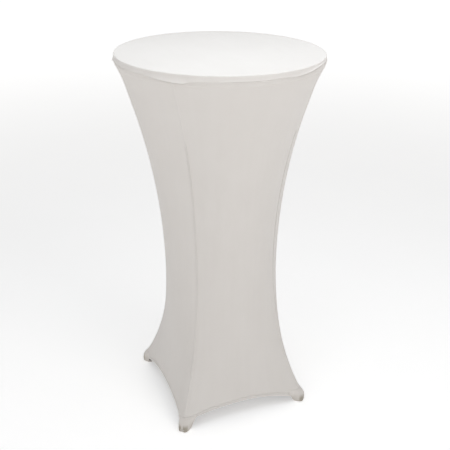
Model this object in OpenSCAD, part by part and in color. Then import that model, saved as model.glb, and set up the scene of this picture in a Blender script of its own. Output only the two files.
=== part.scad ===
// Stretch cover on a round bar table.
// A knitted cover is pulled over a pedestal table: a round top panel, a waisted skirt of four
// panels that meet in seams on the corners, arched hems, and four pockets that hold the feet.
// Origin: on the floor, on the column's axis, +Z up. The feet stand on the diagonals.
// Corners are fl, fr, br and bl: front (-Y) or back (+Y), left (-X) or right (+X).

/* [Table] */
// Height of the covered tabletop above the floor
top_h = 1150; // [1120:5:1180]
// Diameter of the tabletop over its edge band
top_d = 600; // [590:1:602]
// Thickness of the tabletop board
board_t = 22; // [18:1:25]
// Outer diameter of the column tube
column_d = 60; // [50:1:64]
// Distance from the axis to the middle of each foot
foot_reach = 289; // [285:1:290]

/* [Cover] */
// Thickness of the fabric
fabric_t = 2; // [1.6:0.1:2.2]
// Distance from the axis to the middle of a side, at its waist
side_waist_r = 178; // [172:1:190]
// Height of the sides' waist
side_waist_z = 430; // [400:5:500]
// How slowly a side widens below its waist
side_low_c = 688; // [600:5:760]
// Distance from the axis to a corner, at its waist
corner_waist_r = 180; // [178:1:192]
// Height of the corners' waist
corner_waist_z = 522; // [480:1:540]
// How slowly a corner widens below its waist
corner_low_c = 465; // [455:1:480]
// Height of the hem in the middle of a side
hem_mid_z = 52; // [46:1:60]
// Width of the turned hem
hem_w = 12; // [10:1:13]

/* [Levelling feet] */
// How far a levelling glide screws out
glide_travel = 8; // [6:1:8]
// Diameter of the nylon glide
glide_d = 33; // [30:1:33]

/* [Hidden] */

// Turns about Z that carry a part drawn on +X to its corner or its side
FL = 225;
FR = 315;
BR = 45;
BL = 135;
FRONT = 270;
RIGHT = 0;
BACK = 90;
LEFT = 180;
CORNERS = [FL, FR, BR, BL];

// Finishes
FABRIC = [0.84, 0.82, 0.80];
STITCHING = [0.80, 0.78, 0.76];
MELAMINE = [0.93, 0.93, 0.91];
POWDER_COAT = [0.16, 0.16, 0.17];
ZINC = [0.72, 0.73, 0.75];
NYLON = [0.10, 0.10, 0.10];
BRASS = [0.78, 0.62, 0.30];

gap = 0.3;                       // clearance between pieces that only lie beside each other
fit_gap = 0.2;                   // clearance of a tube in its socket
$fn = 96;

// Tabletop
board_top = top_h - fabric_t;
board_z = board_top - board_t;
band_t = 2;                      // edge band, glued on
band_r = top_d / 2;
board_r = band_r - band_t;
rim_r = band_r + fabric_t;       // outside of the cover at the tabletop's edge
rim_round = 4;
top_seam_z = top_h - 22;         // underside of the seam round the tabletop
top_seam_w = 4;
top_seam_proud = 1;

// Spider that carries the board
spider_t = 8;
spider_z = board_z - spider_t;
spider_arm_w = 36;
spider_arm_r = 190;
boss_r = column_d / 2 + 6;
top_socket = 28;
rod_recess_r = 12;
rod_recess = 10;
web_t = 10;
top_web_z = board_z - rod_recess - web_t;
screw_rs = [110, 172];
screw_r = 2;
screw_head_r = 4.5;
screw_head_h = 2.5;
screw_bite = 14;

// Tie rod, M10
rod_r = 5;
rod_hole_r = 5.5;
rod_z = 18;
nut_af = 17;
nut_h = 8;
washer_r = 10.5;
washer_t = 1.5;

// Base
arm_z = 12;                      // underside of the arms
arm_w = 30;
arm_h = 20;
arm_wall = 2;
arm_in_r = 22;
arm_out_r = 262;
plate_z = arm_z + arm_h;
plate_t = 6;
plate_r = 78;
hub_web_t = 12;
socket_h = 52;
bolt_rs = [46, 68];
bolt_r = 4;
bolt_hole_r = 4.3;
bolt_head_r = 6;
bolt_head_h = 8;
bolt_nut_af = 13;
bolt_nut_h = 6.5;
bolt_tail = 1;

// Shoe in each arm's end, and the levelling glide under it
shoe_plug = 26;
shoe_toe_r = 13;
shoe_toe_h = 13;
insert_r = 7;
insert_h = 11;
stud_r = 5;
stud_gap = 0.3;
stud_engaged = 3;                // thread left in the insert when the glide is right out
stud_top = arm_z + stud_engaged + glide_travel;
stud_z = 6;
glide_top = arm_z - fit_gap;
glide_lip = 3;                   // height of the glide's narrower foot
glide_lip_in = 2;

// Pockets
pocket_r = 19;                   // outside
pocket_top = arm_z - 0.5;
sleeve_z = arm_z + gap;
sleeve_chin = 20;                // the toe is upright to this height
sleeve_toe_r = 13;
sleeve_toe_top = 33;
sleeve_in_top = 42.3;
sleeve_start_r = arm_out_r - 3;

// Skirt
flare_z = top_h - 28;            // the fabric leaves the board's edge here
flare_r = band_r + 0.5;
wall_r = band_r + 3;
wall_rise = 3;
corner_soft = 3;                 // degrees over which a corner is rounded at the floor
corner_softer = 17;              // and how much more at the top
hem_end_z = 30;
hem_proud = 0.8;
hem_edge = 3;
seam_half = 3;                   // half the width of a corner seam
seam_proud = 1.2;
side_steps = 14;                 // facets across a side, an even number
height_steps = 20;

// ---- Shape of the skirt ----

function cosh(x) = (exp(x) + exp(-x)) / 2;
function acosh(x) = ln(x + sqrt(x * x - 1));

// Stretched fabric hangs between rim and foot in a catenary: waist_r at waist_z, and flare_r at
// flare_z. low_c sets how fast it widens again below the waist.
function hanging_r(z, waist_r, waist_z, low_c) =
    waist_r * cosh(z > waist_z
        ? (z - waist_z) / (flare_z - waist_z) * acosh(flare_r / waist_r)
        : (waist_z - z) / low_c);
function side_r(z) = hanging_r(z, side_waist_r, side_waist_z, side_low_c);
function corner_r(z) = hanging_r(z, corner_waist_r, corner_waist_z, corner_low_c);

// Degrees round from the corner, eased so that the corner is round and not sharp
function eased(from_corner, z) =
    let (soft = corner_soft + corner_softer * z / flare_z)
    45 * (sqrt(pow(from_corner, 2) + pow(soft, 2)) - soft) / (sqrt(pow(45, 2) + pow(soft, 2)) - soft);

// 1 on a corner and 0 in the middle of a side, as on the outline of a square
function squareness(from_corner, z) =
    (1 / cos(45 - eased(from_corner, z)) - 1) / (sqrt(2) - 1);

// Distance from the axis to the skirt's outside, from_corner degrees round from a corner
function skirt_r(from_corner, z) = z > flare_z
    ? flare_r + (wall_r - flare_r) * min(1, (z - flare_z) / wall_rise)
    : side_r(z) + (corner_r(z) - side_r(z)) * squareness(from_corner, z);

// Lower edge of the hem, side_angle degrees from the middle of the side
function hem_z(side_angle) = hem_end_z + (hem_mid_z - hem_end_z) * (1 - pow(tan(side_angle), 2));

// Half the corner seam's width, as an angle
function seam_angle(z) = seam_half / corner_r(z) * 180 / PI;

// A point of the fabric: angle from the +X line, height, distance in from the outside
function fabric_point(angle, from_corner, z, in) =
    let (r = skirt_r(from_corner, z) - in)
    [r * cos(angle), r * sin(angle), z];

// Rows of a panel: even steps from its lower edge to where the fabric flares, then the rim
function row_z(row, low_z) = row <= height_steps
    ? low_z + (flare_z - low_z) * row / height_steps
    : flare_z + (top_seam_z - flare_z) * (row - height_steps) / 2;
rows = height_steps + 2;

function is_edge(col) = col == 0 || col == side_steps;
function col_angle(col) = atan(2 * col / side_steps - 1);
function panel_low_z(col) = hem_w + (is_edge(col) ? hem_end_z : hem_z(col_angle(col)));
function panel_angle(col, z) = is_edge(col)
    ? sign(col_angle(col)) * (45 - seam_angle(z))
    : col_angle(col);
function panel_row(row, in) = [for (col = [0:side_steps])
    let (z = row_z(row, panel_low_z(col)), a = panel_angle(col, z))
    fabric_point(a, 45 - abs(a), z, in)];

// ---- Closed shells between two sheets of points ----

function grid_faces(n, m, start, flip) = [for (i = [0:n - 2], j = [0:m - 2])
    let (a = start + i * m + j, b = a + 1, c = b + m, d = a + m)
    each flip ? [[a, b, c], [a, c, d]] : [[a, c, b], [a, d, c]]];
function wall_faces(edge, under, flip) = [for (k = [0:len(edge) - 2])
    let (a = edge[k], b = edge[k + 1], c = b + under, d = a + under)
    each flip ? [[a, c, b], [a, d, c]] : [[a, b, c], [a, c, d]]];

// outer and inner are rows of points, counted from the bottom, each row running anticlockwise
module shell(outer, inner) {
    n = len(outer);
    m = len(outer[0]);
    under = n * m;
    points = [for (sheet = [outer, inner], line = sheet, p = line) p];
    bottom = [for (j = [0:m - 1]) j];
    top = [for (j = [0:m - 1]) (n - 1) * m + j];
    start = [for (i = [0:n - 1]) i * m];
    end = [for (i = [0:n - 1]) i * m + m - 1];
    polyhedron(points, concat(
        grid_faces(n, m, 0, false), grid_faces(n, m, under, true),
        wall_faces(bottom, under, false), wall_faces(top, under, true),
        wall_faces(start, under, true), wall_faces(end, under, false)), convexity = 4);
}

// ---- Small shared shapes ----

module ring(r_out, r_in, h) {
    difference() {
        cylinder(r = r_out, h = h);
        translate([0, 0, -1]) cylinder(r = r_in, h = h + 2);
    }
}

module hex_nut(af, hole_r, h) {
    difference() {
        cylinder(d = af / cos(30), h = h, $fn = 6);
        translate([0, 0, -1]) cylinder(r = hole_r, h = h + 2);
    }
}

module at_arms(radii) {
    for (turn = CORNERS, r = radii) rotate(turn) translate([r, 0, 0]) children();
}

// Plan of an arm's rounded end: a stadium of the given half width, out to the foot
module toe_plan(half_w, from_r) {
    translate([foot_reach, 0]) circle(r = half_w);
    translate([from_r, -half_w]) square([foot_reach - from_r, 2 * half_w]);
}

// ---- Tabletop ----

// Melamine-faced chipboard disc, drilled for the wood screws
module tabletop_board() {
    color(MELAMINE) difference() {
        translate([0, 0, board_z]) cylinder(r = board_r, h = board_t);
        at_arms(screw_rs) translate([0, 0, board_z - 1]) cylinder(r = screw_r + fit_gap, h = screw_bite + 2);
    }
}

module tabletop_edge_band() {
    color(MELAMINE) translate([0, 0, board_z]) ring(band_r, board_r, board_t);
}

// Four flat arms on a socket for the column, in one steel weldment
module top_spider() {
    color(POWDER_COAT) difference() {
        union() {
            for (turn = [FL, FR]) rotate(turn)
                translate([-spider_arm_r, -spider_arm_w / 2, spider_z])
                    cube([2 * spider_arm_r, spider_arm_w, spider_t]);
            translate([0, 0, top_web_z - top_socket])
                cylinder(r = boss_r, h = board_z - top_web_z + top_socket);
        }
        translate([0, 0, top_web_z - top_socket - 1])
            cylinder(r = column_d / 2 + fit_gap, h = top_socket + 1);
        translate([0, 0, top_web_z - 1]) cylinder(r = rod_hole_r, h = web_t + 2);
        translate([0, 0, board_z - rod_recess]) cylinder(r = rod_recess_r, h = rod_recess + 1);
        at_arms(screw_rs) translate([0, 0, spider_z - 1]) cylinder(r = screw_r + 0.6, h = spider_t + 2);
    }
}

// Pan-head wood screws, up through the spider into the board
module spider_screws() {
    color(ZINC) at_arms(screw_rs) {
        translate([0, 0, spider_z - screw_head_h]) cylinder(r = screw_head_r, h = screw_head_h);
        translate([0, 0, spider_z]) cylinder(r = screw_r, h = spider_t + screw_bite - 1);
    }
}

// ---- Column ----

hub_web_top = plate_z + hub_web_t;

module column_tube() {
    color(POWDER_COAT) translate([0, 0, hub_web_top])
        ring(column_d / 2, column_d / 2 - 1.5, top_web_z - hub_web_top);
}

// Threaded rod that clamps the spider, the column and the base together
module tie_rod() {
    color(ZINC) translate([0, 0, rod_z]) cylinder(r = rod_r, h = board_z - 0.5 - rod_z);
}

module tie_rod_washers() {
    color(ZINC) {
        translate([0, 0, board_z - rod_recess]) ring(washer_r, rod_hole_r, washer_t);
        translate([0, 0, plate_z - washer_t]) ring(washer_r, rod_hole_r, washer_t);
    }
}

module tie_rod_nuts() {
    color(ZINC) {
        translate([0, 0, board_z - rod_recess + washer_t]) hex_nut(nut_af, rod_r + 0.05, nut_h);
        translate([0, 0, plate_z - washer_t - nut_h]) hex_nut(nut_af, rod_r + 0.05, nut_h);
    }
}

// ---- Base ----

// Steel plate round the socket. The arms bolt up under it.
module base_plate() {
    color(POWDER_COAT) difference() {
        translate([0, 0, plate_z]) ring(plate_r, boss_r, plate_t);
        at_arms(bolt_rs) translate([0, 0, plate_z - 1]) cylinder(r = bolt_hole_r, h = plate_t + 2);
    }
}

// Socket for the column, welded into the plate
module base_socket() {
    color(POWDER_COAT) difference() {
        translate([0, 0, plate_z]) cylinder(r = boss_r, h = socket_h);
        translate([0, 0, hub_web_top]) cylinder(r = column_d / 2 + fit_gap, h = socket_h);
        translate([0, 0, plate_z - 1]) cylinder(r = rod_hole_r, h = hub_web_t + 2);
    }
}

// Rectangular steel tube, open at both ends
module base_arm(turn) {
    length = arm_out_r - arm_in_r;
    color(POWDER_COAT) rotate(turn) difference() {
        translate([arm_in_r, -arm_w / 2, arm_z]) cube([length, arm_w, arm_h]);
        translate([arm_in_r - 1, arm_wall - arm_w / 2, arm_z + arm_wall])
            cube([length + 2, arm_w - 2 * arm_wall, arm_h - 2 * arm_wall]);
        for (r = bolt_rs) translate([r, 0, arm_z - 1]) cylinder(r = bolt_hole_r, h = arm_h + 2);
    }
}

module arm_bolts() {
    tail_z = arm_z - bolt_nut_h - bolt_tail;
    color(ZINC) at_arms(bolt_rs) {
        translate([0, 0, plate_z + plate_t]) cylinder(r = bolt_head_r, h = bolt_head_h);
        translate([0, 0, tail_z]) cylinder(r = bolt_r, h = plate_z + plate_t - tail_z);
    }
}

module arm_nuts() {
    color(ZINC) at_arms(bolt_rs) translate([0, 0, arm_z - bolt_nut_h])
        hex_nut(bolt_nut_af, bolt_r + 0.05, bolt_nut_h);
}

// Moulded shoe: a plug in the arm's end, and a round toe that takes the glide
module arm_shoe(turn) {
    plug_w = arm_w - 2 * arm_wall - 2 * fit_gap;
    plug_h = arm_h - 2 * arm_wall - 2 * fit_gap;
    color(NYLON) rotate(turn) difference() {
        union() {
            translate([0, 0, arm_z]) linear_extrude(shoe_toe_h) toe_plan(shoe_toe_r, arm_out_r);
            translate([arm_out_r - shoe_plug, -plug_w / 2, arm_z + arm_wall + fit_gap])
                cube([shoe_plug + 1, plug_w, plug_h]);
        }
        translate([foot_reach, 0, arm_z - 1]) cylinder(r = insert_r + 0.05, h = insert_h + 1);
        translate([foot_reach, 0, arm_z]) cylinder(r = stud_r + 0.5, h = stud_top + 1 - arm_z);
    }
}

// Threaded brass inserts, pressed up into the shoes
module glide_inserts() {
    color(BRASS) at_arms([foot_reach]) translate([0, 0, arm_z])
        ring(insert_r, stud_r + stud_gap, insert_h);
}

// ---- Levelling glides, one moving body at each corner ----

module glide_stud(turn) {
    color(ZINC) rotate(turn) translate([foot_reach, 0, stud_z])
        cylinder(r = stud_r, h = stud_top - stud_z);
}

module glide_foot(turn) {
    color(NYLON) rotate(turn) translate([foot_reach, 0, 0]) difference() {
        union() {
            translate([0, 0, fabric_t]) cylinder(d = glide_d - 2 * glide_lip_in, h = glide_lip);
            translate([0, 0, fabric_t + glide_lip])
                cylinder(d = glide_d, h = glide_top - fabric_t - glide_lip);
        }
        translate([0, 0, stud_z]) cylinder(r = stud_r + 0.05, h = glide_top);
    }
}

// Lower part of a foot pocket, with the sole that stands on the floor. It moves with the glide.
module foot_pocket(turn) {
    color(FABRIC) rotate(turn) translate([foot_reach, 0, 0]) difference() {
        cylinder(r = pocket_r, h = pocket_top);
        translate([0, 0, fabric_t]) cylinder(r = pocket_r - fabric_t, h = pocket_top);
    }
}

// ---- Cover ----

// A toe that leans back over the shoe, drawn in by in all round
module sleeve_block(in) {
    hull() for (stage = [[foot_reach, pocket_r, sleeve_chin], [foot_reach, sleeve_toe_r, sleeve_toe_top],
            [arm_out_r, pocket_r, sleeve_in_top]])
        translate([stage[0], 0, sleeve_z])
            cylinder(r = stage[1] - in, h = stage[2] - in - sleeve_z, $fn = 32);
}

// Upper part of a foot pocket: it wraps the shoe, and is open below and towards the hub
module pocket_sleeve(turn) {
    color(FABRIC) rotate(turn) difference() {
        sleeve_block(0);
        translate([0, 0, -fabric_t]) sleeve_block(fabric_t);
        translate([0, -arm_w, arm_z - 1]) cube([sleeve_start_r, 2 * arm_w, 2 * arm_h]);
        translate([0, 0, arm_z - 1]) linear_extrude(fabric_t + 2)
            toe_plan(pocket_r - fabric_t, arm_out_r - pocket_r);
    }
}

// Round panel over the tabletop, turned down over its edge
module cover_top_panel() {
    wall_z = top_seam_z + top_seam_w;
    color(FABRIC) rotate_extrude() difference() {
        union() {
            translate([0, wall_z]) square([rim_r, top_h - rim_round - wall_z]);
            translate([0, wall_z]) square([rim_r - rim_round, top_h - wall_z]);
            translate([rim_r - rim_round, top_h - rim_round]) circle(r = rim_round);
        }
        translate([-rim_r, 0]) square([rim_r + band_r + gap, board_top]);
        translate([-2 * rim_r, 0]) square([2 * rim_r, top_h + 1]);
    }
}

// Overlocked seam that joins the top panel to the skirt
module cover_top_seam() {
    color(STITCHING) translate([0, 0, top_seam_z])
        ring(rim_r + top_seam_proud, band_r + gap, top_seam_w);
}

module skirt_panel(turn) {
    color(FABRIC) rotate(turn) shell(
        [for (row = [0:rows]) panel_row(row, 0)],
        [for (row = [0:rows]) panel_row(row, fabric_t)]);
}

// Flat seam on a corner, with a low ridge of stitching along its middle
module corner_seam(turn) {
    function seam_row(row, in, proud) = let (z = row_z(row, hem_end_z + hem_w), a = seam_angle(z)) [
        fabric_point(-a, a, z, in),
        fabric_point(0, 0, z, in - proud),
        fabric_point(a, a, z, in)];
    color(STITCHING) rotate(turn) shell(
        [for (row = [0:rows]) seam_row(row, 0, seam_proud)],
        [for (row = [0:rows]) seam_row(row, fabric_t, 0)]);
}

// Turned hem, thicker than the panel that it edges
module hem(turn) {
    function hem_row(up, in) = [for (col = [1:side_steps - 1])
        let (a = col_angle(col)) fabric_point(a, 45 - abs(a), hem_z(a) + up, in)];
    color(FABRIC) rotate(turn) shell(
        [hem_row(0, -hem_proud), hem_row(hem_w - hem_edge, -hem_proud), hem_row(hem_w, 0)],
        [hem_row(0, fabric_t + hem_proud), hem_row(hem_w - hem_edge, fabric_t + hem_proud),
            hem_row(hem_w, fabric_t)]);
}

tabletop_board();
tabletop_edge_band();
top_spider();
spider_screws();
column_tube();
tie_rod();
tie_rod_nuts();
tie_rod_washers();
base_plate();
base_socket();
base_arm(FL);  // base_arm_fl
base_arm(FR);  // base_arm_fr
base_arm(BR);  // base_arm_br
base_arm(BL);  // base_arm_bl
arm_bolts();
arm_nuts();
arm_shoe(FL);  // arm_shoe_fl
arm_shoe(FR);  // arm_shoe_fr
arm_shoe(BR);  // arm_shoe_br
arm_shoe(BL);  // arm_shoe_bl
glide_inserts();
glide_stud(FL);  // glide_stud_fl
glide_stud(FR);  // glide_stud_fr
glide_stud(BR);  // glide_stud_br
glide_stud(BL);  // glide_stud_bl
glide_foot(FL);  // glide_foot_fl
glide_foot(FR);  // glide_foot_fr
glide_foot(BR);  // glide_foot_br
glide_foot(BL);  // glide_foot_bl
foot_pocket(FL);  // foot_pocket_fl
foot_pocket(FR);  // foot_pocket_fr
foot_pocket(BR);  // foot_pocket_br
foot_pocket(BL);  // foot_pocket_bl
pocket_sleeve(FL);  // pocket_sleeve_fl
pocket_sleeve(FR);  // pocket_sleeve_fr
pocket_sleeve(BR);  // pocket_sleeve_br
pocket_sleeve(BL);  // pocket_sleeve_bl
cover_top_panel();
cover_top_seam();
skirt_panel(FRONT);  // skirt_panel_front
skirt_panel(RIGHT);  // skirt_panel_right
skirt_panel(BACK);  // skirt_panel_back
skirt_panel(LEFT);  // skirt_panel_left
corner_seam(FL);  // corner_seam_fl
corner_seam(FR);  // corner_seam_fr
corner_seam(BR);  // corner_seam_br
corner_seam(BL);  // corner_seam_bl
hem(FRONT);  // hem_front
hem(RIGHT);  // hem_right
hem(BACK);  // hem_back
hem(LEFT);  // hem_left
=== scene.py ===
import math

import bmesh
import bpy
import numpy as np
from mathutils import Matrix, Vector


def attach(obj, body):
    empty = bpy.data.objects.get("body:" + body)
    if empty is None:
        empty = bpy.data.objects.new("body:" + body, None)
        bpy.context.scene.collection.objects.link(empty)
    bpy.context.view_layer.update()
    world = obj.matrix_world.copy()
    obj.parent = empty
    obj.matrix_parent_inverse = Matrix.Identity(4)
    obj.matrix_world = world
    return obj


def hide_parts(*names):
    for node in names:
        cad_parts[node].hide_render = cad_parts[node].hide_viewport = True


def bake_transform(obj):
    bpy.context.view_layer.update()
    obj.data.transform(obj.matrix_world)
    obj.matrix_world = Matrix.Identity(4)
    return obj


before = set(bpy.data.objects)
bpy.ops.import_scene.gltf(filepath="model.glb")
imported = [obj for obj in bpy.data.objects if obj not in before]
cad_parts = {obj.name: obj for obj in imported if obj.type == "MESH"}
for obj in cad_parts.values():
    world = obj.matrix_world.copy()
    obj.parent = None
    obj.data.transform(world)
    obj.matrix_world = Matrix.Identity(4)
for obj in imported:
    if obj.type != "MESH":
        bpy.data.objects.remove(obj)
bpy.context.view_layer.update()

# ---------------------------------------------------------------------------------------------
# The view. The table is looked down on from a little above its top, with the front left foot
# nearest and the front side of the skirt turned slightly away.
# ---------------------------------------------------------------------------------------------
eye_away = 2.0963                # from the column's axis, along the floor
eye_height = 1.5854
eye_turn = math.radians(-20.98)  # round from the front
look_down = math.radians(25.69)
look_right = math.radians(2.77)
tilt = math.radians(1.13)

forward = Vector((math.sin(look_right) * math.cos(look_down),
                  math.cos(look_right) * math.cos(look_down), -math.sin(look_down)))
level_right = Vector((math.cos(look_right), -math.sin(look_right), 0))
level_up = level_right.cross(forward)
right = level_right * math.cos(tilt) + level_up * math.sin(tilt)
up = level_up * math.cos(tilt) - level_right * math.sin(tilt)
turned = Matrix.Rotation(eye_turn, 4, "Z")
axes = Matrix((right, up, -forward)).transposed().to_4x4()

lens = bpy.data.cameras.new("eye")
lens.sensor_width = 36
lens.lens = 58.14
lens.shift_x = -0.0612
lens.shift_y = 0.0144
eye = bpy.data.objects.new("eye", lens)
eye.matrix_world = turned @ Matrix.Translation((0, -eye_away, eye_height)) @ axes
bpy.context.scene.collection.objects.link(eye)
bpy.context.scene.camera = eye

# ---------------------------------------------------------------------------------------------
# The skirt's four panels. Each is one width of white stretch knit, cut narrow in the middle. It
# is drawn tight between the tabletop's rim and the feet, so it hangs in a catenary in height
# and goes from a circle at the rim to a square with rounded corners at the floor.
# ---------------------------------------------------------------------------------------------
flare_z = 1.122                  # here the fabric leaves the tabletop's edge
flare_r = 0.3005
# Radius at the narrowest, the height of that, and how slowly it widens below: mid side and corner
side_line = (0.178, 0.430, 0.688)
corner_line = (0.180, 0.522, 0.465)
corner_soft = 0.05               # radians over which a corner is rounded at the floor
corner_softer = 0.30             # and how much more at the rim
# Height of each hem in its middle, and how low it would run at its left and right foot if the
# pockets didn't take it up
hem_middle = {"front": 0.0545, "right": 0.0545, "back": 0.0545, "left": 0.0590}
hem_ends = {"front": (0.034, 0.011), "right": (0.022, 0.024), "back": (0.025, 0.021), "left": (0.013, 0.031)}
hem_width = 0.009
pocket_top_z = 0.047
pocket_reach = math.radians(7.2)  # the pocket takes the skirt's place this near the corner
panel_columns = 120
panel_rows = 120
fabric_thick = 0.0009


def hanging_r(z, waist_r, waist_z, low_c):
    high_c = (flare_z - waist_z) / math.acosh(flare_r / waist_r)
    return waist_r * np.cosh(np.where(z > waist_z, (z - waist_z) / high_c, (waist_z - z) / low_c))


def skirt_r(from_corner, z):
    """Distance from the axis to the outside of the skirt."""
    side = hanging_r(z, *side_line)
    corner = hanging_r(z, *corner_line) - 0.0020 * np.exp(-((z - 0.22) / 0.10) ** 2)
    soft = corner_soft + corner_softer * z / flare_z
    quarter = math.pi / 4
    eased = ((np.sqrt(from_corner ** 2 + soft ** 2) - soft)
             / (np.sqrt(quarter ** 2 + soft ** 2) - soft) * quarter)
    square = (1 / np.cos(quarter - eased) - 1) / (math.sqrt(2) - 1)
    r = side + (corner - side) * square
    # the foot pushes the corner out
    over = np.maximum(z - 0.043, 0)
    pushed = 0.0070 * np.exp(-over / 0.028) + 0.0014 * np.exp(-(over / 0.090) ** 2)
    # just under the rim the cloth turns in more sharply than it hangs
    turned_in = 0.0022 * np.exp(-((z - 1.075) / 0.035) ** 2)
    return r + pushed * np.exp(-(from_corner / 0.105) ** 2) - turned_in


def on_skirt(turn, z):
    """Points of the skirt, turn radians round from +X."""
    from_corner = np.abs(np.mod(turn, math.pi / 2) - math.pi / 4)
    r = skirt_r(from_corner, z)
    return np.stack([r * np.cos(turn), r * np.sin(turn), z], -1)


def hem_z(side, from_side):
    """Height of a side's hem, from_side radians from the middle of that side."""
    left_end, right_end = hem_ends[side]
    low = np.where(np.asarray(from_side) < 0, left_end, right_end)
    return low + (hem_middle[side] - low) * (1 - np.tan(from_side) ** 2)


def smooth_step(x):
    x = np.clip(x, 0, 1)
    return x * x * (3 - 2 * x)


# The seam under the rim is pulled down over the front left corner, where a fold of the top
# panel ends in a sharp pucker, and up on the right, where another fold runs up to the rim.
# Angles are in degrees round from the front, and heights in metres.
rim_seam = [(-180, 1.1325), (-166, 1.1318), (-158, 1.1280), (-150, 1.1318), (-118, 1.1330), (-104, 1.1290),
            (-99, 1.1322), (-84, 1.1325), (-65, 1.1320), (-58, 1.1312), (-52, 1.1292), (-45, 1.1288),
            (-40, 1.1280), (-37.2, 1.1270), (-36.2, 1.1302), (-24, 1.1316), (-14, 1.1325), (2, 1.1325),
            (9, 1.1335), (14, 1.1345), (17.5, 1.1312), (22, 1.1328), (26.5, 1.1355), (32, 1.1390),
            (38.5, 1.1420), (45, 1.1422), (54, 1.1370), (64, 1.1328), (96, 1.1322), (109, 1.1290),
            (116, 1.1328), (142, 1.1322), (180, 1.1325)]


def seam_z(turn):
    """Height of the rim's seam, turn radians round from +X."""
    from_front = (np.degrees(turn) + 90 + 180) % 360 - 180
    return np.interp(from_front, [a for a, _ in rim_seam], [z for _, z in rim_seam])


# Folds that stand out just above the seam: where each starts, is fullest and ends, and how far
rim_folds = [(-66, -40, -36.6, 0.0044), (12, 33, 54, 0.0034), (-166, -157, -148, 0.0026),
             (-112, -103, -99.5, 0.0030), (98, 110, 114.5, 0.0028)]


def rim_fold(turn):
    from_front = (np.degrees(turn) + 90 + 180) % 360 - 180
    return sum(out * smooth_step((from_front - start) / (full - start))
               * smooth_step((end - from_front) / (end - full))
               for start, full, end, out in rim_folds)


def grid_piece(name, points, cut, closed=False):
    """A mesh on rows of points. cut holds each point's place on the flat cloth, in metres."""
    rows, columns = points.shape[:2]
    last = columns if closed else columns - 1
    i, j = np.meshgrid(np.arange(rows - 1), np.arange(last), indexing="ij")
    a, b = i * columns + j, i * columns + (j + 1) % columns
    faces = np.stack([a, b, b + columns, a + columns], -1).reshape(-1, 4)
    mesh = bpy.data.meshes.new(name)
    mesh.from_pydata(points.reshape(-1, 3).tolist(), [], faces.tolist())
    mesh.polygons.foreach_set("use_smooth", [True] * len(mesh.polygons))
    layer = mesh.uv_layers.new(name="cut")
    flat = cut.reshape(-1, 2)
    corners = faces.ravel()
    layer.data.foreach_set("uv", flat[corners].ravel())
    piece = bpy.data.objects.new(name, mesh)
    bpy.context.scene.collection.objects.link(piece)
    return piece


def settle(piece):
    """Applies a piece's modifiers to its mesh."""
    bpy.context.view_layer.update()
    made = piece.evaluated_get(bpy.context.evaluated_depsgraph_get())
    mesh = bpy.data.meshes.new_from_object(made)
    piece.modifiers.clear()
    piece.data = mesh
    mesh.polygons.foreach_set("use_smooth", [True] * len(mesh.polygons))


def thicken(piece, thick):
    """Gives a cloth its thickness, inwards from the side that shows."""
    solid = piece.modifiers.new("thickness", "SOLIDIFY")
    solid.thickness = thick
    solid.offset = -1
    settle(piece)


class Wire:
    """An output of a shader node. Sums and products of wires add their own nodes."""

    def __init__(self, tree, output):
        self.tree = tree
        self.output = output

    def node(self, kind, settings=None, values=None, output=0):
        made = self.tree.nodes.new(kind)
        for name, value in (settings or {}).items():
            if name == "stops":
                ramp = made.color_ramp.elements
                while len(ramp) < len(value):
                    ramp.new(0.5)
                for stop, (place, colour) in zip(ramp, value):
                    stop.position = place
                    stop.color = colour
            else:
                setattr(made, name, value)
        for name, value in (values or {}).items():
            if isinstance(value, Wire):
                self.tree.links.new(value.output, made.inputs[name])
            else:
                made.inputs[name].default_value = value
        return Wire(self.tree, made.outputs[output])

    def math(self, operation, *values):
        return self.node("ShaderNodeMath", {"operation": operation}, dict(enumerate(values)))

    def __add__(self, other):
        return self.math("ADD", self, other)

    __radd__ = __add__

    def __sub__(self, other):
        return self.math("SUBTRACT", self, other)

    def __rsub__(self, other):
        return self.math("SUBTRACT", other, self)

    def __mul__(self, other):
        return self.math("MULTIPLY", self, other)

    __rmul__ = __mul__

    def __truediv__(self, other):
        return self.math("DIVIDE", self, other)

    def __abs__(self):
        return self.math("ABSOLUTE", self)

    def fract(self):
        return self.math("FRACT", self)

    def sine(self):
        return self.math("SINE", self)

    def between(self, low, high):
        """0 below low and 1 above high, easing from one to the other."""
        return self.node("ShaderNodeMapRange", {"interpolation_type": "SMOOTHSTEP"},
                         {"Value": self, "From Min": low, "From Max": high})

    def tint(self, low, high):
        """The colour low where this is 0, and high where it is 1."""
        return self.node("ShaderNodeMix", {"data_type": "RGBA"}, {0: self, 6: low, 7: high}, 2)


def new_finish(name, **constant):
    """A material with its constant values set, its shader, and a wire to build the rest from."""
    finish = bpy.data.materials.new(name)
    finish.use_nodes = True
    shader = finish.node_tree.nodes["Principled BSDF"]
    for socket, value in constant.items():
        shader.inputs[socket.replace("_", " ")].default_value = value
    return finish, shader, Wire(finish.node_tree, shader.outputs[0])


def put(shader, **wires):
    """Joins wires to a shader's sockets."""
    for socket, wire in wires.items():
        wire.tree.links.new(wire.output, shader.inputs[socket.replace("_", " ")])


wale = 0.0010                    # width of one column of the knit
course = 0.0008                  # height of one row of it


def knit(wire, u, v):
    """Height of the jersey's loops, and the v-shaped stitch in each column."""
    across = (u / wale).fract() - 0.5
    leg = (v / course + abs(across) * 1.1) * (2 * math.pi)
    return (abs(across) * (2 * math.pi) + math.pi / 2).sine() * 0.35 + leg.sine() * 0.25


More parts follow.
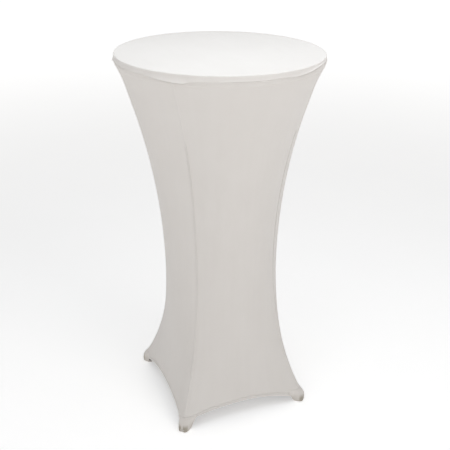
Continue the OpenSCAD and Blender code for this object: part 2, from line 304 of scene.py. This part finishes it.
def cloth_finish(name, light, dark, over_foot=False):
    """Matt white polyester jersey with some elastane: soft sheen, faint streaks along the pull."""
    finish, shader, wire = new_finish(name, Sheen_Weight=0.18, Sheen_Roughness=0.45, Specular_IOR_Level=0.28)
    place = wire.node("ShaderNodeUVMap", {"uv_map": "cut"})
    parts = wire.node("ShaderNodeSeparateXYZ", {}, {0: place})
    u, v = parts, Wire(parts.tree, parts.output.node.outputs[1])
    stretched = wire.node("ShaderNodeCombineXYZ", {}, {0: u * 46, 1: v * 3.2, 2: 0.7})
    streaks = wire.node("ShaderNodeTexNoise", {}, {"Vector": stretched, "Scale": 1.0, "Detail": 3.0})
    cloudy = wire.node("ShaderNodeTexNoise", {},
                       {"Vector": place, "Scale": 5.5, "Detail": 4.0, "Roughness": 0.6})
    fibre = wire.node("ShaderNodeTexNoise", {}, {"Vector": place, "Scale": 900.0, "Detail": 2.0})
    tone = (streaks * 0.30 + cloudy * 0.70).between(0.25, 0.75)
    colour = tone.tint(dark, light)
    if over_foot:
        # darker and browner towards the floor; and beside the toe's seam, but not on it, painted shade of the
        # valleys either side of the seam, where the dark glide also shows through the thin stretched cloth
        seam_valley_shade = abs(u).between(0.0014, 0.0030) * (1 - abs(u).between(0.0105, 0.0170))
        colour = ((1 - (v + cloudy * 0.010).between(0.012, 0.044)) * 0.55).tint(colour, (0.56, 0.52, 0.47, 1))
        # painted shade, with the dark glide showing through: the valleys beside the toe's seam, low on the
        # toe
        colour = (seam_valley_shade * (1 - v.between(0.014, 0.032)) * 0.85).tint(colour, (0.37, 0.335, 0.275, 1))
    stitch = knit(wire, u, v)
    # painted shade: the hollows between the knit's loops are darker
    loop_hollow_shade = stitch.between(-0.50, 0.50).tint((0.93, 0.927, 0.923, 1), (1, 1, 1, 1))
    in_shade = wire.node("ShaderNodeMix", {"data_type": "RGBA", "blend_type": "MULTIPLY"},
                         {0: 1.0, 6: colour, 7: loop_hollow_shade}, 2)
    rough = 0.80 + (cloudy - 0.5) * 0.10 + (fibre - 0.5) * 0.06
    loops = wire.node("ShaderNodeBump", {},
                      {"Strength": 0.4, "Distance": 0.00022, "Height": stitch + fibre * 0.3})
    soft = wire.node("ShaderNodeBump", {}, {"Strength": 0.16, "Distance": 0.004,
                                            "Height": streaks * 0.6 + cloudy * 0.4, "Normal": loops})
    put(shader, Base_Color=in_shade, Roughness=rough, Normal=soft)
    return finish


white_knit = cloth_finish("white_knit", (0.820, 0.786, 0.754, 1), (0.793, 0.758, 0.724, 1))

# Feet stand on the diagonals, and each side's panel faces along an axis
sides = {"front": 270, "right": 0, "back": 90, "left": 180}
corners = {"fl": 225, "fr": 315, "br": 45, "bl": 135}
# The sides on the left and the right of each corner, as seen from outside
beside = {"fl": ("left", "front"), "fr": ("front", "right"), "br": ("right", "back"), "bl": ("back", "left")}
root = "table_and_cover"
seam_half = 0.0025               # half the width of a corner seam


def tension(turn, z):
    """Soft ripples of the stretched cloth: down from the rim, and fanned out from the feet."""
    from_corner = np.mod(turn, math.pi / 2) - math.pi / 4
    high = smooth_step((z - 0.86) / 0.22) * (1 - smooth_step((z - 1.09) / 0.03))
    low = smooth_step((0.34 - z) / 0.22)
    ripple = 0.00035 * np.sin(turn * 23 + 0.8) * np.sin(turn * 7 + 2.1) * high
    fan = 0.0006 * np.sin(abs(from_corner) * 38 + 0.5) * np.exp(-abs(from_corner) / 0.30) * low
    return ripple + fan


def push_out(points, turn, out):
    """Moves points out from the axis."""
    moved = points.copy()
    moved[..., 0] += out * np.cos(turn)
    moved[..., 1] += out * np.sin(turn)
    return moved


def over_rim(turn, z):
    """Extra width of the skirt near the seam. The seam allowance lies under it as a flat ledge."""
    ledge = 0.0010 * smooth_step((z - flare_z + 0.0035) / 0.0020)
    return ledge + 0.0022 * smooth_step((z - flare_z) / 0.008)


for side, degrees in sides.items():
    middle = math.radians(degrees)
    share = np.linspace(-1, 1, panel_columns + 1)
    from_side = np.arctan(share)
    lower = np.where(abs(from_side) < math.pi / 4 - pocket_reach,
                     hem_z(side, from_side) + hem_width, pocket_top_z)
    turn = middle + from_side
    height = np.linspace(0, 1, panel_rows + 1)[:, None] ** 1.15
    body = lower + (flare_z - 0.0055 - lower) * height
    ledge = flare_z - np.array([0.0038, 0.0030, 0.0022, 0.0015, 0.0])[:, None] + 0 * turn
    rim = flare_z + (seam_z(turn) - flare_z) * np.array([0.2, 0.4, 0.6, 0.8, 1.0])[:, None]
    z = np.vstack([body, ledge, rim])
    trim = seam_half * 0.8 / skirt_r(0.0 * z, z) * np.sign(share) * (abs(share) > 0.999)
    turns = turn - trim
    points = on_skirt(turns, np.minimum(z, flare_z))
    points[..., 2] = z
    points = push_out(points, turns, tension(turns, z) + over_rim(turns, z))
    cut = np.stack([from_side * 0.26 + 0 * z, z], -1)
    panel = grid_piece("skirt_panel_%s_cloth" % side, points, cut)
    thicken(panel, fabric_thick)
    panel.data.materials.append(white_knit)
    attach(panel, root)
    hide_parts("skirt_panel_" + side)

# ---------------------------------------------------------------------------------------------
# The top panel. A disc of the same knit, turned down over the tabletop's edge. Its turned-down
# part is 18 mm deep, and stands a little proud where it is pulled into folds at the seam.
# ---------------------------------------------------------------------------------------------
top_z = 1.1500
top_turns = 720
edge_round = 0.0030
rim_out = 0.3032

turn = np.linspace(0, 2 * math.pi, top_turns, endpoint=False)
outward = np.stack([np.cos(turn), np.sin(turn)], -1)
lip = rim_out - edge_round
rings, cuts = [], []


def add_ring(r, z, along):
    """One ring of the panel, at radius r and height z, that lies along from the middle when flat."""
    rings.append(np.column_stack([outward * np.reshape(r, (-1, 1)), z + 0 * turn]))
    cuts.append(outward * np.reshape(along, (-1, 1)))


for r in [*np.linspace(0.004, lip - 0.018, 26), lip - 0.010, lip - 0.005, lip - 0.002]:
    slack = 0.00045 * smooth_step((lip - r) / 0.05) + 0.00010 * np.sin(3 * turn + r * 30) * (r / rim_out)
    add_ring(r, top_z - slack, r)
for bend in np.radians([0, 18, 36, 54, 72, 90]):
    add_ring(lip + edge_round * math.sin(bend), top_z - edge_round * (1 - math.cos(bend)),
             lip + edge_round * bend)
side_top = top_z - edge_round
fold = rim_fold(turn)
lip_z = seam_z(turn) + 0.0008 - 0.8 * fold
for down in np.linspace(0.12, 1, 10):
    z = side_top + (lip_z - side_top) * down
    add_ring(rim_out + 0.0016 * down ** 2 + fold * down ** 2.2, z,
             lip + edge_round * math.pi / 2 + side_top - z)
# in a fold the cloth laps over the seam, and turns back up to it underneath
for back in (0.45, 0.9):
    add_ring(rim_out + 0.0016 * (1 - back) + fold * (1 - back), lip_z + (0.0006 + 0.6 * fold) * back,
             lip + edge_round * math.pi / 2 + side_top - lip_z + 0.0010 * back + fold * back)
top_cloth = grid_piece("cover_top_cloth", np.array(rings)[::-1], np.array(cuts)[::-1], closed=True)
middle_hole = bmesh.new()
middle_hole.from_mesh(top_cloth.data)
middle_hole.faces.ensure_lookup_table()
inner = [v for v in middle_hole.verts if v.co.xy.length < 0.0041]
inner.sort(key=lambda v: math.atan2(v.co.y, v.co.x))
cap = middle_hole.faces.new(inner)
cap.smooth = True
for loop in cap.loops:
    loop[middle_hole.loops.layers.uv["cut"]].uv = loop.vert.co.xy
middle_hole.to_mesh(top_cloth.data)
middle_hole.free()
thicken(top_cloth, fabric_thick)
top_cloth.data.materials.append(white_knit)
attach(top_cloth, root)
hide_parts("cover_top_panel")

# ---------------------------------------------------------------------------------------------
# The rim's seam. The top panel and the skirt are overlocked together, and the seam's ridge of
# thread shows as a low cord all the way round under the tabletop's edge.
# ---------------------------------------------------------------------------------------------


def strip(name, path, across, out, profile, swell=None, closed=False):
    """A strip with the given section, of (across, out) points, swept along path."""
    path, across, out = (np.asarray(x, float) for x in (path, across, out))
    across = across / np.linalg.norm(across, axis=1, keepdims=True)
    out = out / np.linalg.norm(out, axis=1, keepdims=True)
    a, o = np.array(profile).T
    swell = np.ones(len(path)) if swell is None else swell
    risen = np.where(o > 0, swell[:, None] * o, o)
    points = path[:, None] + across[:, None] * a[None, :, None] + out[:, None] * risen[:, :, None]
    steps = np.linalg.norm(np.diff(path, axis=0), axis=1)
    along = np.concatenate([[0], np.cumsum(steps)])
    count = len(profile)
    n = len(path)
    last = n if closed else n - 1
    faces = [[i * count + j, i * count + (j + 1) % count,
              (i + 1) % n * count + (j + 1) % count, (i + 1) % n * count + j]
             for i in range(last) for j in range(count)]
    if not closed:
        faces += [list(range(count))[::-1], [(n - 1) * count + j for j in range(count)]]
    mesh = bpy.data.meshes.new(name)
    mesh.from_pydata(points.reshape(-1, 3).tolist(), [], faces)
    flip = np.dot(np.cross(points[0, 1] - points[0, 0], points[1, 0] - points[0, 0]),
                  points[0, 0] + points[0, 1] - 2 * points[0].mean(0)) > 0
    if not flip:
        mesh.flip_normals()
    mesh.polygons.foreach_set("use_smooth", [True] * len(mesh.polygons))
    places = np.stack(np.broadcast_arrays(a[None, :], along[:, None]), -1).reshape(-1, 2)
    layer = mesh.uv_layers.new(name="cut")
    loops = np.zeros(len(mesh.loops), int)
    mesh.loops.foreach_get("vertex_index", loops)
    layer.data.foreach_set("uv", places[loops].ravel())
    piece = bpy.data.objects.new(name, mesh)
    bpy.context.scene.collection.objects.link(piece)
    return piece


def thread_row(name, path, out, across, pitch, long, thick, lean=0.0):
    """A row of stitches on path: each a short lens of thread, lying along it or leaning across."""
    path, out, across = (np.asarray(x, float) for x in (path, out, across))
    steps = np.concatenate([[0], np.cumsum(np.linalg.norm(np.diff(path, axis=0), axis=1))])
    count = int(steps[-1] / pitch)
    at = (np.arange(count) + 0.5) * steps[-1] / count

    def sample(values):
        return np.stack([np.interp(at, steps, values[:, k]) for k in range(3)], -1)

    def unit(values):
        return values / np.linalg.norm(values, axis=1, keepdims=True)

    middle, up, over = sample(path), unit(sample(out)), unit(sample(across))
    along = unit(np.cross(up, over))
    run = unit(along + over * lean)
    wide = np.cross(up, run)
    stations = [(-0.5, 0.0), (-0.28, 0.85), (0.0, 1.0), (0.28, 0.85), (0.5, 0.0)]
    around = np.radians([0, 72, 144, 216, 288])
    verts, faces = [], []
    for k in range(count):
        base = len(verts)
        for place, full in stations:
            centre = middle[k] + run[k] * place * long + up[k] * thick * (0.35 * full - 0.1)
            if full == 0:
                verts.append(centre)
                continue
            for a in around:
                verts.append(centre + (wide[k] * math.cos(a) + up[k] * math.sin(a) * 0.8) * thick * full / 2)
        for m in range(5):
            n = (m + 1) % 5
            faces.append([base, base + 1 + n, base + 1 + m])
            for ring in (0, 5):
                first = base + 1 + ring
                faces.append([first + m, first + n, first + 5 + n, first + 5 + m])
            faces.append([base + 16, base + 11 + m, base + 11 + n])
    mesh = bpy.data.meshes.new(name)
    mesh.from_pydata([tuple(v) for v in verts], [], faces)
    mesh.polygons.foreach_set("use_smooth", [True] * len(mesh.polygons))
    piece = bpy.data.objects.new(name, mesh)
    bpy.context.scene.collection.objects.link(piece)
    piece.data.materials.append(white_thread)
    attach(piece, root)
    return piece


def spot_on(wire):
    return wire.node("ShaderNodeTexCoord", {}, {}, 3)


def speckle(wire, scale, detail=3.0):
    return wire.node("ShaderNodeTexNoise", {}, {"Vector": spot_on(wire), "Scale": scale, "Detail": detail})


# Spun polyester thread in the cloth's white: its plies show as a fine twist
white_thread, shader, wire = new_finish("white_thread", Sheen_Weight=0.15, Specular_IOR_Level=0.35)
twist = speckle(wire, 1400.0, 2.0)
put(shader, Base_Color=twist.tint((0.75, 0.72, 0.69, 1), (0.84, 0.81, 0.78, 1)),
    Roughness=0.62 + twist * 0.12,
    Normal=wire.node("ShaderNodeBump", {}, {"Strength": 0.4, "Distance": 0.0002, "Height": twist}))
# painted highlight: the seams are made of a lighter copy of the knit, for the light line along each seam's
# ridge
lightened_seam_knit = cloth_finish("lightened_seam_knit", (0.842, 0.810, 0.779, 1), (0.816, 0.781, 0.749, 1))

cord_points = 600
turn = np.linspace(0, 2 * math.pi, cord_points, endpoint=False)
radial = np.stack([np.cos(turn), np.sin(turn), 0 * turn], -1)
seam_path = radial * (rim_out + 0.0005) + np.stack([0 * turn, 0 * turn, seam_z(turn)], -1)
rim_cord = strip("rim_seam_cloth", seam_path, np.tile([0, 0, 1.0], (cord_points, 1)), radial,
                 [(-0.0019, 0), (-0.0012, 0.0007), (0, 0.0010), (0.0012, 0.0007), (0.0019, 0),
                  (0.0015, -0.001), (-0.0015, -0.001)], closed=True)
rim_cord.data.materials.append(lightened_seam_knit)
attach(rim_cord, root)
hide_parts("cover_top_seam")
around = np.vstack([seam_path, seam_path[:1]]) + np.vstack([radial, radial[:1]]) * 0.0009
thread_row("rim_seam_thread", around, np.vstack([radial, radial[:1]]),
           np.tile([0, 0, 1.0], (cord_points + 1, 1)), 0.0030, 0.0032, 0.00045, lean=1.3)

# ---------------------------------------------------------------------------------------------
# The corner seams. Each joins two panels down a corner, from the rim's seam to the pocket. It
# is a flat seam, and its ridge is sharpest near the foot, where the corner is tightest.
# ---------------------------------------------------------------------------------------------
corner_seams, corner_threads = {}, {}
for corner, degrees in corners.items():
    middle = math.radians(degrees)
    z = np.linspace(0, 1, 150) ** 1.1 * (seam_z(middle) - pocket_top_z) + pocket_top_z
    turns = middle + 0 * z
    path = push_out(on_skirt(turns, np.minimum(z, flare_z)), turns, tension(turns, z) + over_rim(turns, z))
    path[:, 2] = z
    across = np.stack([-np.sin(turns), np.cos(turns), 0 * z], -1)
    out = np.cross(across, np.gradient(path, axis=0))
    seam = strip("corner_seam_%s_cloth" % corner, path, across, out,
                 [(-0.0028, 0), (-0.0017, 0.00035), (-0.0005, 0.0007), (0, 0.00085), (0.0005, 0.0007),
                  (0.0017, 0.00035), (0.0028, 0), (0.0024, -0.001), (-0.0024, -0.001)],
                 swell=1.20 - 0.95 * smooth_step((z - 0.08) / 0.55))
    seam.data.materials.append(lightened_seam_knit)
    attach(seam, root)
    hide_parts("corner_seam_" + corner)
    corner_seams[corner] = seam
    unit_out = out / np.linalg.norm(out, axis=1, keepdims=True)
    sunk = (0.00060 - 0.00055 * smooth_step((z - 0.08) / 0.55))[:, None]
    corner_threads[corner] = thread_row("corner_thread_" + corner, path + unit_out * sunk, unit_out, across,
                                        0.0036, 0.0042, 0.0004, lean=1.6)

# ---------------------------------------------------------------------------------------------
# The hems. The lower edge of each panel is arched, turned up once and stitched down with a
# stretch stitch, which leaves a fine groove just above the rolled edge.
# ---------------------------------------------------------------------------------------------
hem_reach = math.pi / 4 - pocket_reach
hem_section = [(-0.0004, -0.0016), (-0.0010, -0.0009), (-0.0011, 0.0000), (-0.0006, 0.0008), (0.0006, 0.0012),
               (0.0030, 0.0012), (0.0058, 0.0010), (0.0067, 0.0003), (0.0077, 0.0008), (0.0088, 0.0004),
               (0.0096, -0.0003), (0.0106, -0.0006), (0.0104, -0.0014), (0.0060, -0.0019), (0.0020, -0.0021)]
for side, degrees in sides.items():
    middle = math.radians(degrees)
    from_side = np.arctan(np.linspace(-math.tan(hem_reach), math.tan(hem_reach), 120))
    turns = middle + from_side
    low = hem_z(side, from_side)
    high = low + hem_width
    path = push_out(on_skirt(turns, low), turns, tension(turns, low))
    above = push_out(on_skirt(turns, high), turns, tension(turns, high))
    rise = above - path
    out = np.cross(np.gradient(path, axis=0), rise)
    blended = 0.25 + 0.75 * smooth_step((hem_reach - abs(from_side)) / 0.06)
    hem = strip("hem_%s_cloth" % side, path, rise, out, hem_section, swell=blended)
    hem.data.materials.append(white_knit)
    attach(hem, root)
    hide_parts("hem_" + side)
    unit_rise = rise / np.linalg.norm(rise, axis=1, keepdims=True)
    unit_out = out / np.linalg.norm(out, axis=1, keepdims=True)
    stitched = thread_row("hem_thread_" + side, path + unit_rise * 0.0067 + unit_out * 0.0005,
                          unit_out, unit_rise, 0.0030, 0.0024, 0.0005)

# ---------------------------------------------------------------------------------------------
# The foot pockets. Each corner ends in a sock of doubled knit that goes over the end of a base
# arm and under its levelling glide, with a seam down its toe. It stretches as the glide moves.
# ---------------------------------------------------------------------------------------------
foot_reach = 0.289
toe_r = 0.0184                   # half the pocket's width at the floor
sole_edge = 0.0035               # radius between the wall and the sole
heel = 0.034                     # how far the sole's sides run back from the glide
pocket_knit = cloth_finish("pocket_knit", (0.822, 0.785, 0.751, 1), (0.792, 0.754, 0.718, 1), over_foot=True)
sole_knit = cloth_finish("sole_knit", (0.62, 0.595, 0.56, 1), (0.54, 0.51, 0.47, 1))
doubled_thick = 0.0012

for corner, degrees in corners.items():
    middle = math.radians(degrees)
    radial = np.array([math.cos(middle), math.sin(middle)])
    sideways = np.array([-math.sin(middle), math.cos(middle)])
    body = "glide_" + corner
    share = np.linspace(-1, 1, 97)[None, :]
    down = np.linspace(0, 1, 49)[:, None] ** 0.9
    side_share = abs(share)
    before, after = beside[corner]
    edge_z = np.where(share < 0, hem_z(before, hem_reach), hem_z(after, -hem_reach))
    end_z = edge_z * smooth_step((side_share - 0.66) / 0.34) + 0.0004
    z = pocket_top_z + (end_z - pocket_top_z) * down
    turns = middle + share * pocket_reach + 0 * z
    hanging = on_skirt(turns, z)
    hanging = push_out(hanging, turns, tension(turns, z))
    pulled = np.sin(math.pi / 2 * np.clip((pocket_top_z - z) / (pocket_top_z - 0.014), 0, 1)) ** 1.3
    pulled = pulled * (1 - smooth_step((side_share - 0.62) / 0.38))
    tuck = sole_edge - np.sqrt(np.maximum(sole_edge ** 2 - np.maximum(sole_edge - z, 0) ** 2, 0))
    # the toe's seam stands in a valley between two small lobes
    along_toe = share * 0.036
    seam_ridge = (0.0011 * np.exp(-(along_toe / 0.0011) ** 2) - 0.0020 * np.exp(-(along_toe / 0.0042) ** 2)
                  + 0.0007 * np.exp(-((abs(along_toe) - 0.0085) / 0.004) ** 2))
    seam_ridge = seam_ridge * smooth_step((0.040 - z) / 0.022)
    crease = (0.0008 * np.sin(z / 0.0021 + side_share * 9) * np.exp(-((side_share - 0.20) / 0.12) ** 2)
              * smooth_step((0.036 - z) / 0.012))
    width = toe_r - tuck + seam_ridge + crease
    bend = np.minimum(side_share / 0.55, 1) * math.pi / 2 * np.sign(share)
    back = np.maximum(side_share - 0.55, 0) / 0.45 * heel
    x = foot_reach + width * np.cos(bend) - back
    y = width * np.sin(bend)
    on_foot = x[..., None] * radial + y[..., None] * sideways
    points = hanging.copy()
    points[..., :2] = hanging[..., :2] * (1 - pulled[..., None]) + on_foot * pulled[..., None]
    # the seam's pull lifts the sole's edge a little at the toe
    points[..., 2] += 0.0007 * np.exp(-(along_toe / 0.0035) ** 2) * down ** 3
    cut = np.stack([share * 0.036 + 0 * z, z], -1)
    pocket = grid_piece("foot_pocket_%s_cloth" % corner, points[::-1], cut[::-1])
    thicken(pocket, doubled_thick)
    pocket.data.materials.append(pocket_knit)
    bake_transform(pocket)
    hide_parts("pocket_sleeve_" + corner)

    # the sole, a shallow cup of the doubled knit round the glide's foot, inside the wall
    around = np.linspace(0, 2 * math.pi, 64, endpoint=False)
    reach = np.clip(-np.cos(around) * 2.5, 0, 1) * 0.007
    rings = []
    for r, z in [(0.0002, 0.0004), (0.0060, 0.0003), (0.0120, 0.0003), (0.0155, 0.0006), (0.0170, 0.0016),
                 (0.0176, 0.0035), (0.0177, 0.0075), (0.0177, 0.0108), (0.0174, 0.0113), (0.0171, 0.0108),
                 (0.0170, 0.0040), (0.0162, 0.0020), (0.0120, 0.0015), (0.0002, 0.0015)]:
        x = foot_reach + r * np.cos(around) - reach * (r / 0.0177)
        y = r * np.sin(around)
        flat = x[:, None] * radial + y[:, None] * sideways
        rings.append(np.column_stack([flat, np.full(64, z)]))
    rings = np.array(rings)
    sole = grid_piece("foot_sole_%s_cloth" % corner, rings, rings[..., :2], closed=True)
    sole.data.materials.append(sole_knit)
    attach(sole, body)
    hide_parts("foot_pocket_" + corner)
    "arm_shoe_" + corner
    "glide_foot_" + corner

# ---------------------------------------------------------------------------------------------
# The table. Chipboard top with a white melamine face, black powder-coated steel spider, column
# and base bolted together with zinc-plated hardware, nylon shoes and glides, brass inserts.
# ---------------------------------------------------------------------------------------------
powder_coat, shader, wire = new_finish("black_powder_coat", Specular_IOR_Level=0.5)
peel, worn = speckle(wire, 620.0), speckle(wire, 14.0)
put(shader, Base_Color=worn.between(0.35, 0.75).tint((0.022, 0.022, 0.024, 1), (0.040, 0.040, 0.043, 1)),
    Roughness=0.42 + worn * 0.16,
    Normal=wire.node("ShaderNodeBump", {}, {"Strength": 0.25, "Distance": 0.0004, "Height": peel}))

zinc, shader, wire = new_finish("zinc_plated_steel", Metallic=1.0)
spangle, fine = speckle(wire, 160.0), speckle(wire, 900.0)
put(shader, Base_Color=spangle.tint((0.56, 0.58, 0.61, 1), (0.74, 0.75, 0.77, 1)),
    Roughness=0.28 + spangle * 0.18,
    Normal=wire.node("ShaderNodeBump", {}, {"Strength": 0.2, "Distance": 0.0002, "Height": fine}))

nylon, shader, wire = new_finish("black_nylon", Specular_IOR_Level=0.45)
grain = speckle(wire, 480.0)
put(shader, Base_Color=grain.tint((0.012, 0.012, 0.012, 1), (0.030, 0.030, 0.030, 1)),
    Roughness=0.48 + grain * 0.14,
    Normal=wire.node("ShaderNodeBump", {}, {"Strength": 0.3, "Distance": 0.0003, "Height": grain}))

brass, shader, wire = new_finish("brass", Metallic=1.0)
turned_marks = speckle(wire, 300.0)
put(shader, Base_Color=turned_marks.tint((0.66, 0.49, 0.20, 1), (0.80, 0.63, 0.30, 1)),
    Roughness=0.26 + turned_marks * 0.14)

melamine, shader, wire = new_finish("white_melamine", Specular_IOR_Level=0.5)
pearl, dust = speckle(wire, 260.0), speckle(wire, 9.0)
put(shader, Base_Color=dust.between(0.3, 0.7).tint((0.80, 0.80, 0.78, 1), (0.85, 0.85, 0.83, 1)),
    Roughness=0.34 + dust * 0.10,
    Normal=wire.node("ShaderNodeBump", {}, {"Strength": 0.12, "Distance": 0.0003, "Height": pearl}))

made_of = {"tabletop": melamine, "top_spider": powder_coat, "spider_screws": zinc, "column": powder_coat,
           "tie_rod": zinc, "base": powder_coat, "arm_bolts": zinc, "arm_nuts": zinc, "arm_shoe": nylon,
           "glide_inserts": brass, "glide_stud": zinc, "glide_foot": nylon}
for name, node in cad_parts.items():
    for start, finish in made_of.items():
        if name.startswith(start):
            for slot in node.material_slots:
                slot.material = finish

# ---------------------------------------------------------------------------------------------
# The room: a pale matt floor that runs out of sight and glows, dimmer near the table and
# brighter further out, so that it lights the table from under as a light table would. Soft white
# light from all round, a softbox overhead, and weaker ones front and left.
# ---------------------------------------------------------------------------------------------
bpy.context.scene.view_settings.view_transform = "Standard"

floor_r = 14
floor_points = 96
floor_mesh = bpy.data.meshes.new("floor")
around = np.linspace(0, 2 * math.pi, floor_points, endpoint=False)
floor_mesh.from_pydata([(floor_r * math.cos(a), floor_r * math.sin(a), 0) for a in around], [],
                       [list(range(floor_points))])
floor = bpy.data.objects.new("floor", floor_mesh)
bpy.context.scene.collection.objects.link(floor)
floor_paint, shader, wire = new_finish("floor_paint", Roughness=0.95, Specular_IOR_Level=0.1,
                                       Emission_Strength=1.0)
mottle = speckle(wire, 3.0)
# painted light: the floor glows, dimmer near the table and brighter further out
away = wire.node("ShaderNodeVectorMath", {"operation": "LENGTH"}, {0: spot_on(wire)}, 1)
glow = away.between(0.8, 6.5).tint((0.40, 0.40, 0.40, 1), (0.70, 0.70, 0.70, 1))
put(shader, Base_Color=mottle.tint((0.90, 0.90, 0.90, 1), (0.93, 0.93, 0.93, 1)), Emission_Color=glow)
floor_mesh.materials.append(floor_paint)

room = bpy.data.worlds.new("room")
bpy.context.scene.world = room
room.use_nodes = True
all_round = room.node_tree.nodes["Background"]
all_round.inputs["Color"].default_value = (1.01, 1.0, 0.99, 1)
all_round.inputs["Strength"].default_value = 0.39
sky = Wire(room.node_tree, all_round.outputs[0])
plain_white = sky.node("ShaderNodeBackground", {}, {"Color": (1, 1, 1, 1)})
to_eye = sky.node("ShaderNodeLightPath", {}, {}, "Is Camera Ray")
backdrop = sky.node("ShaderNodeMixShader", {}, {0: to_eye, 1: sky, 2: plain_white})
room.node_tree.links.new(backdrop.output, room.node_tree.nodes["World Output"].inputs["Surface"])


def softbox(name, place, aim, width, power, colour):
    light = bpy.data.lights.new(name, "AREA")
    light.shape = "SQUARE"
    light.size = width
    light.energy = power
    light.color = colour
    lamp = bpy.data.objects.new(name, light)
    lamp.location = place
    lamp.rotation_mode = "QUATERNION"
    lamp.rotation_quaternion = (Vector(aim) - Vector(place)).to_track_quat("-Z", "Y")
    bpy.context.scene.collection.objects.link(lamp)


softbox("overhead", (0.0, -0.2, 1.95), (0, 0, 1.0), 1.5, 11.2, (0.935, 1.0, 1.06))
softbox("front", (0.9, -2.2, 2.6), (0, 0, 0.9), 1.4, 10.2, (1.05, 1.0, 0.95))
softbox("left", (-2.6, -1.6, 2.0), (0, 0, 0.8), 1.8, 6.0, (1.05, 1.0, 0.95))
